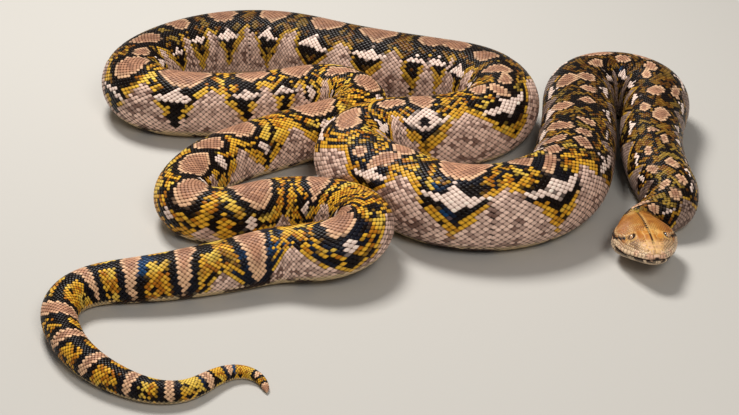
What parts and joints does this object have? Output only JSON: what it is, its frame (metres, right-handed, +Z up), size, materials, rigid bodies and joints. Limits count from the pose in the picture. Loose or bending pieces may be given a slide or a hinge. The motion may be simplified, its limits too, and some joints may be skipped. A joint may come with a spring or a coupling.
{
  "type": "reticulated python lying in loops",
  "caption": "Still, life-size model of a python lying on the ground in open folds, its tail swept round to a hooked tip and its head looking forward.",
  "frame": {"origin": "middle of the animal's bounding box, on the ground", "axes": "+Z up; -Y the way the head looks; +X to the left side of the head"},
  "size_m": [0.6243, 0.6663, 0.0792],
  "materials": {
    "tail_skin": "scaled, glossy",
    "trunk_skin": "scaled, glossy, patterned",
    "neck_skin": "scaled, satin",
    "head_skin": "shields and small scales, satin",
    "jaw_skin": "lip shields, satin",
    "eye": "wet gloss"
  },
  "bodies": {
    "root": {"tail_tip": "tail_skin", "tail_sweep": "tail_skin", "tail_root": "tail_skin", "trunk_1": "trunk_skin", "trunk_2": "trunk_skin", "trunk_3": "trunk_skin", "trunk_4": "trunk_skin", "trunk_5": "trunk_skin", "trunk_6": "trunk_skin", "trunk_7": "trunk_skin", "trunk_8": "trunk_skin", "trunk_9": "trunk_skin", "trunk_10": "trunk_skin", "trunk_11": "trunk_skin", "trunk_12": "trunk_skin", "trunk_13": "trunk_skin", "trunk_14": "trunk_skin", "trunk_15": "trunk_skin", "trunk_16": "trunk_skin", "neck_rear": "neck_skin", "neck_front": "neck_skin", "nape": "neck_skin", "head": "head_skin", "lower_jaw": "jaw_skin", "eye_left": "eye", "eye_right": "eye"}
  },
  "joints": []
}
